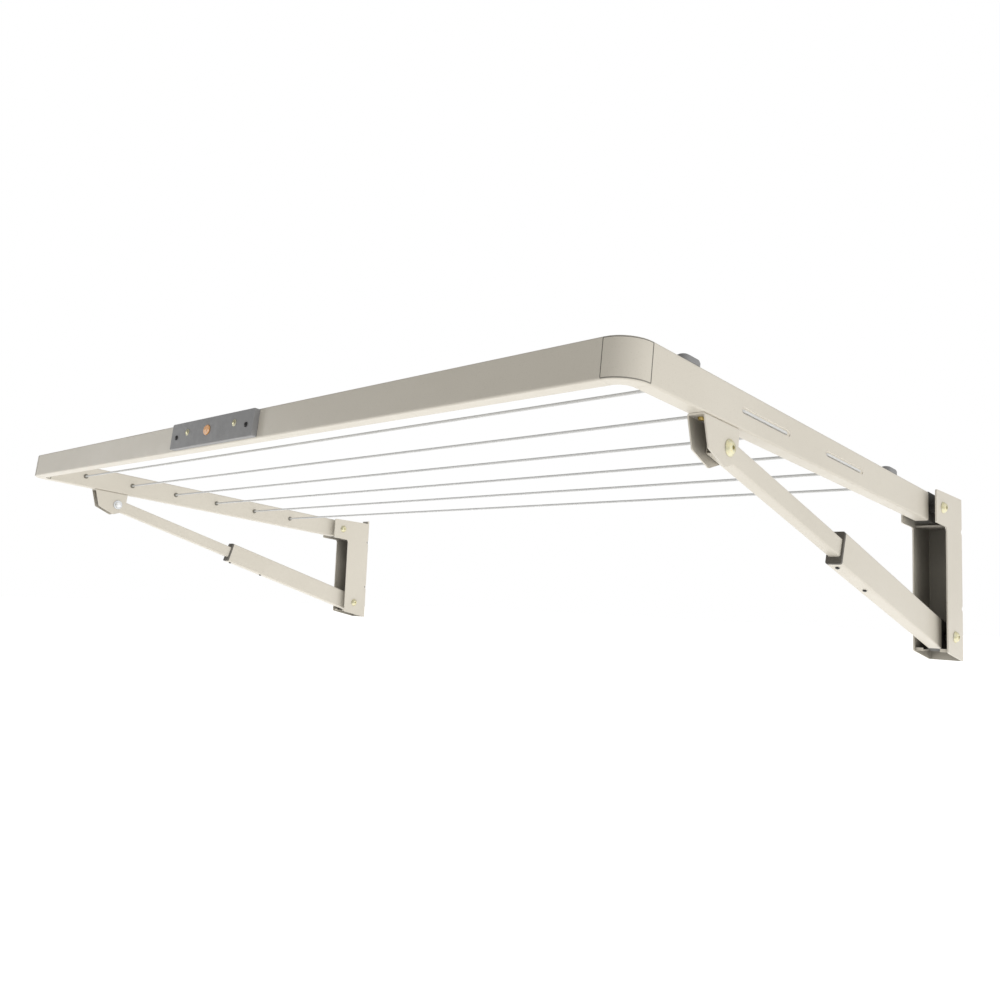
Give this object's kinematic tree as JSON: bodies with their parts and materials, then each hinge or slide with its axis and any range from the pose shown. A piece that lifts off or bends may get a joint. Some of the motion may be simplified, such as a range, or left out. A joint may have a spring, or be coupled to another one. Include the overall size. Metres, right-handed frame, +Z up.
{
  "type": "wall mounted fold-down drying rack",
  "caption": "Wall mounted clothes drying rack: a lined frame on two brackets that folds down flat against the wall as its telescopic struts shorten.",
  "frame": {"origin": "on the wall plane, midway between the two wall brackets, at the height of the arm pivots", "axes": "+X right along the wall, +Y into the wall, +Z up; the rack reaches towards -Y"},
  "size_m": [1.7968, 0.9972, 0.3695],
  "materials": {
    "cream_paint": "cream powder coat, satin",
    "zinc": "yellow passivated zinc plate",
    "bright_steel": "bright zinc plate",
    "black_steel": "black oxide",
    "olive_plastic": "fine matt moulding, dark olive grey",
    "black_plastic": "fine matt moulding",
    "grey_cover": "fine grain grey moulding",
    "cord": "grey sheathed cord",
    "emblem": "plain amber stud"
  },
  "bodies": {
    "wall_mounts": {"arm_pivot_pin_left": "zinc", "arm_pivot_pin_right": "zinc", "strut_foot_stud_left_east": "zinc", "strut_foot_stud_left_west": "zinc", "strut_foot_stud_right_east": "zinc", "strut_foot_stud_right_west": "zinc", "wall_bracket_left": "cream_paint", "wall_bracket_right": "cream_paint"},
    "folding_frame": {"arm_pivot_block_left": "black_plastic", "arm_pivot_block_right": "black_plastic", "clothesline": "cord", "corner_left": "cream_paint", "corner_right": "cream_paint", "cover_plate": "grey_cover", "emblem_stud": "emblem", "front_rail": "cream_paint", "hanger_bolt_left_front": "zinc", "hanger_bolt_left_rear": "zinc", "hanger_bolt_right_front": "zinc", "hanger_bolt_right_rear": "zinc", "line_clip_front": "grey_cover", "line_clip_rear": "grey_cover", "line_grommet_left_1": "olive_plastic", "line_grommet_left_2": "olive_plastic", "line_grommet_left_3": "olive_plastic", "line_grommet_left_4": "olive_plastic", "line_grommet_left_5": "olive_plastic", "line_grommet_left_6": "olive_plastic", "line_grommet_right_1": "olive_plastic", "line_grommet_right_2": "olive_plastic", "line_grommet_right_3": "olive_plastic", "line_grommet_right_4": "olive_plastic", "line_grommet_right_5": "olive_plastic", "line_grommet_right_6": "olive_plastic", "plate_rivet_left": "zinc", "plate_rivet_right": "zinc", "plate_screw_left": "black_steel", "plate_screw_right": "black_steel", "side_arm_left": "cream_paint", "side_arm_right": "cream_paint", "strut_hanger_left": "cream_paint", "strut_hanger_right": "cream_paint", "strut_pivot_pin_left": "zinc", "strut_pivot_pin_right": "zinc", "strut_washer_left": "bright_steel", "strut_washer_right": "bright_steel"},
    "strut_rod_left": {"strut_inner_left": "cream_paint"},
    "strut_rod_right": {"strut_inner_right": "cream_paint"},
    "strut_sleeve_left": {"strut_collar_left": "olive_plastic", "strut_foot_left": "black_plastic", "strut_outer_left": "cream_paint", "strut_screw_left_mouth": "black_steel", "strut_screw_left_stop": "black_steel"},
    "strut_sleeve_right": {"strut_collar_right": "olive_plastic", "strut_foot_right": "black_plastic", "strut_outer_right": "cream_paint", "strut_screw_right_mouth": "black_steel", "strut_screw_right_stop": "black_steel"}
  },
  "joints": [
    {"name": "fold", "type": "hinge", "parent": "wall_mounts", "child": "folding_frame", "pos_m": [0, -0.0985, 0], "axis": [1, 0, 0], "range_deg": [0, 95.2]},
    {"name": "strut_swing_left", "type": "hinge", "parent": "folding_frame", "child": "strut_rod_left", "pos_m": [-0.8625, -0.78164, 0.00745], "axis": [1, 0, 0], "range_deg": [0, 12.1]},
    {"name": "strut_slide_left", "type": "slide", "parent": "strut_rod_left", "child": "strut_sleeve_left", "axis": [0, -0.9552, 0.2958], "range_m": [0, 0.3125]},
    {"name": "strut_swing_right", "type": "hinge", "parent": "folding_frame", "child": "strut_rod_right", "pos_m": [0.8625, -0.78164, 0.00745], "axis": [1, 0, 0], "range_deg": [0, 12.1]},
    {"name": "strut_slide_right", "type": "slide", "parent": "strut_rod_right", "child": "strut_sleeve_right", "axis": [0, -0.9552, 0.2958], "range_m": [0, 0.3125]}
  ],
  "couplings": [
    {"joint": "strut_swing_left", "follows": "fold", "ratio": 0.12613},
    {"joint": "strut_slide_left", "follows": "fold", "m_per_rad": 0.1879},
    {"joint": "strut_swing_right", "follows": "fold", "ratio": 0.12613},
    {"joint": "strut_slide_right", "follows": "fold", "m_per_rad": 0.1879}
  ]
}
